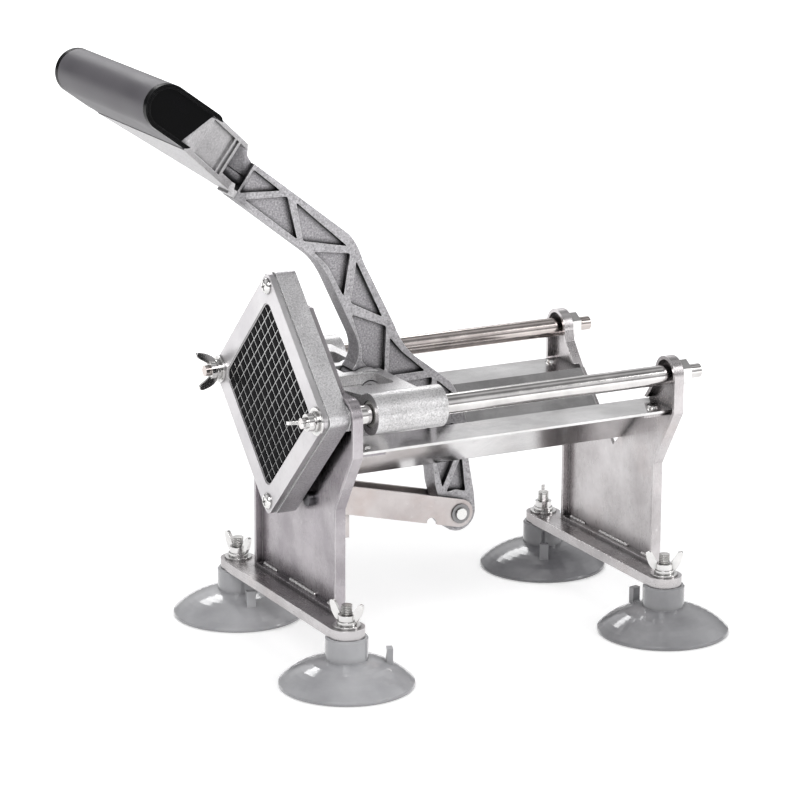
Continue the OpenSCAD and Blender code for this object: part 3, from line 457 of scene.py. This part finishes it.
def add_piece(name, bm, look, body):
    """A smooth-shaded object from a bmesh. It rides on the body, and has the slot's name."""
    mesh = bpy.data.meshes.new(name)
    bm.to_mesh(mesh)
    bm.free()
    mesh.materials.append(look)
    for f in mesh.polygons:
        f.use_smooth = True
    o = bpy.data.objects.new(name, mesh)
    bpy.context.scene.collection.objects.link(o)
    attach(o, body)


def add_bead(bm, a, b, width, height, step, seed):
    """A row of overlapping flat drops from a to b, along X or along Y."""
    a, b = Vector(a), Vector(b)
    runs_along_x = abs((b - a).normalized().x) > 0.5
    count = max(2, int((b - a).length / step))
    for i in range(count + 1):
        swell = 1 + 0.12 * math.sin(i * 2.3 + seed)
        lift = 0.1 * math.sin(i * 1.7 + seed)
        centre = a.lerp(b, i / count) + Vector((0, 0, lift))
        across, along, up = width * swell, step * 0.95, height * swell
        radii = (along, across, up) if runs_along_x else (across, along, up)
        for v in bmesh.ops.create_icosphere(bm, subdivisions=2, radius=1.0)["verts"]:
            v.co = (centre + Vector(c * r for c, r in zip(v.co, radii))) * MM


def add_welds(name, web_x, look):
    """The beads at the foot of one upright: on its bottom fold, and where its flanges meet the base."""
    bm = bmesh.new()
    x = web_x - BEAD_FROM_WEB
    for start, end in FOLD_BEADS_Y:
        ends = [(x, y, FOLD_TOP_Z) for y in (start, end)]
        add_bead(bm, *ends, width=1.2, height=1.2, step=1.5, seed=start)
    for y in (-FLANGE_Y, FLANGE_Y):
        ends = [(web_x - inset, y, BASE_TOP_Z) for inset in (FLANGE_BEAD_START, FLANGE_BEAD_END)]
        add_bead(bm, *ends, width=0.9, height=0.8, step=1.3, seed=y)
    add_piece(name, bm, look, "frame")


weld_look = cast_metal(
    "weld_bead", (0.60, 0.58, 0.58), (0.80, 0.78, 0.77), rough=0.26, grain_mm=1.1, recess_shade=0.4
)
add_welds("weld_front", WEB_REAR_X, weld_look)
add_welds("weld_rear", WEB_REAR_X + UPRIGHT_PITCH, weld_look)

# ---------------------------------------------------------------- floor
FLOOR_HALF = 9.0
FLOOR_DROP = 0.0002
GLOW_FROM = 0.35
GLOW_TO = 1.3
GLOW_NEAR = 0.34
GLOW_FAR = 1.0


def floor_material():
    """Near-white floor that keeps the object's shadow. Seen directly or in a reflection it glows,
    and it glows more away from the object."""
    material = bpy.data.materials.new("floor_white")
    material.use_nodes = True
    tree = material.node_tree
    matt = tree.nodes["Principled BSDF"]
    matt.inputs["Base Color"].default_value = (0.86, 0.86, 0.86, 1)
    matt.inputs["Roughness"].default_value = 0.7

    path = tree.nodes.new("ShaderNodeLightPath").outputs
    seen = maths(tree, "MAXIMUM", path["Is Camera Ray"], path["Is Glossy Ray"])
    seen = maths(tree, "MAXIMUM", seen, path["Is Transmission Ray"])
    place = tree.nodes.new("ShaderNodeTexCoord")
    reach = tree.nodes.new("ShaderNodeVectorMath")
    reach.operation = "LENGTH"
    tree.links.new(place.outputs["Object"], reach.inputs[0])
    spread = map_range(tree, reach.outputs["Value"], GLOW_FROM, GLOW_TO, GLOW_NEAR, GLOW_FAR)
    glow = tree.nodes.new("ShaderNodeEmission")
    glow.inputs["Color"].default_value = (1, 1, 1, 1)
    tree.links.new(maths(tree, "MULTIPLY", seen, spread), glow.inputs["Strength"])
    both = tree.nodes.new("ShaderNodeAddShader")
    tree.links.new(matt.outputs[0], both.inputs[0])
    tree.links.new(glow.outputs[0], both.inputs[1])
    tree.links.new(both.outputs[0], tree.nodes["Material Output"].inputs["Surface"])
    return material


def add_floor():
    mesh = bpy.data.meshes.new("floor")
    bm = bmesh.new()
    bmesh.ops.create_grid(bm, x_segments=1, y_segments=1, size=FLOOR_HALF)
    bm.to_mesh(mesh)
    bm.free()
    mesh.materials.append(floor_material())
    floor = bpy.data.objects.new("floor", mesh)
    bpy.context.scene.collection.objects.link(floor)
    floor.location = (0, 0, -FLOOR_DROP)


add_floor()

# ---------------------------------------------------------------- studio
# Height of the direction and brightness there, from the horizon up.
SKY = ((0.10, 0.30), (0.24, 0.62), (0.36, 0.95), (0.62, 0.90), (0.72, 0.45), (0.84, 0.50))
PANEL_COUNT = 5.0
PANEL_GAP = 0.50
LAMP_AIM = Vector((0.02, 0, 0.13))


def add_world():
    """A studio that grows lighter and darker with height, in soft upright panels all round."""
    world = bpy.data.worlds.new("studio")
    bpy.context.scene.world = world
    world.use_nodes = True
    tree = world.node_tree
    background = tree.nodes["Background"]
    direction = tree.nodes.new("ShaderNodeTexCoord")
    split = tree.nodes.new("ShaderNodeSeparateXYZ")
    tree.links.new(direction.outputs["Generated"], split.inputs[0])
    height = tree.nodes.new("ShaderNodeValToRGB")
    tree.links.new(split.outputs["Z"], height.inputs["Fac"])
    steps = height.color_ramp.elements
    steps[0].position = 0.0
    steps[0].color = (0.42, 0.42, 0.43, 1)
    steps[1].position = 1.0
    steps[1].color = (0.95, 0.95, 0.95, 1)
    for at, value in SKY:
        steps.new(at).color = (value, value, value * 1.01, 1)
    turn = maths(tree, "ARCTAN2", split.outputs["Y"], split.outputs["X"])
    wave = maths(tree, "COSINE", maths(tree, "MULTIPLY", turn, PANEL_COUNT))
    panels = map_range(tree, wave, -0.6, 0.5, PANEL_GAP, 1.0)
    shade = tree.nodes.new("ShaderNodeMix")
    shade.data_type = "RGBA"
    shade.blend_type = "MULTIPLY"
    shade.inputs[0].default_value = 1.0
    tree.links.new(height.outputs["Color"], shade.inputs[6])
    tree.links.new(panels, shade.inputs[7])
    tree.links.new(shade.outputs[2], background.inputs["Color"])
    background.inputs["Strength"].default_value = 1.0


def add_softbox(name, place, size, watts):
    lamp = bpy.data.lights.new(name, "AREA")
    lamp.shape = "RECTANGLE"
    lamp.size, lamp.size_y = size
    lamp.energy = watts
    box = bpy.data.objects.new(name, lamp)
    bpy.context.scene.collection.objects.link(box)
    box.location = place
    box.rotation_euler = (LAMP_AIM - Vector(place)).to_track_quat("-Z", "Y").to_euler()


add_world()
add_softbox("key", (-0.75, -1.15, 1.35), (0.9, 0.7), 13)
add_softbox("side", (1.25, -0.95, 0.85), (0.5, 0.9), 6)
add_softbox("back", (0.35, 1.35, 1.25), (1.1, 0.5), 8)

# ---------------------------------------------------------------- camera
AZIMUTH = math.radians(-27.764)
ELEVATION = math.radians(15.266)
ROLL = math.radians(0.312)
TARGET = Vector((4.114, 0.0, 134.4)) * MM
DISTANCE = 2.0813
FOCAL_PX = 3741.2
PICTURE_PX = 800
SENSOR_MM = 36


def add_camera():
    back = Vector((
        math.sin(AZIMUTH) * math.cos(ELEVATION),
        -math.cos(AZIMUTH) * math.cos(ELEVATION),
        math.sin(ELEVATION),
    ))
    level = Vector((math.cos(AZIMUTH), math.sin(AZIMUTH), 0))
    right = level * math.cos(ROLL) + back.cross(level) * math.sin(ROLL)
    turned = Matrix((right, back.cross(right), back)).transposed().to_4x4()
    lens = bpy.data.cameras.new("camera")
    lens.lens = FOCAL_PX / PICTURE_PX * SENSOR_MM
    lens.sensor_width = SENSOR_MM
    lens.clip_end = 60
    camera = bpy.data.objects.new("camera", lens)
    bpy.context.scene.collection.objects.link(camera)
    camera.matrix_world = Matrix.Translation(TARGET + back * DISTANCE) @ turned
    bpy.context.scene.camera = camera


add_camera()
bpy.context.scene.view_settings.view_transform = "Standard"
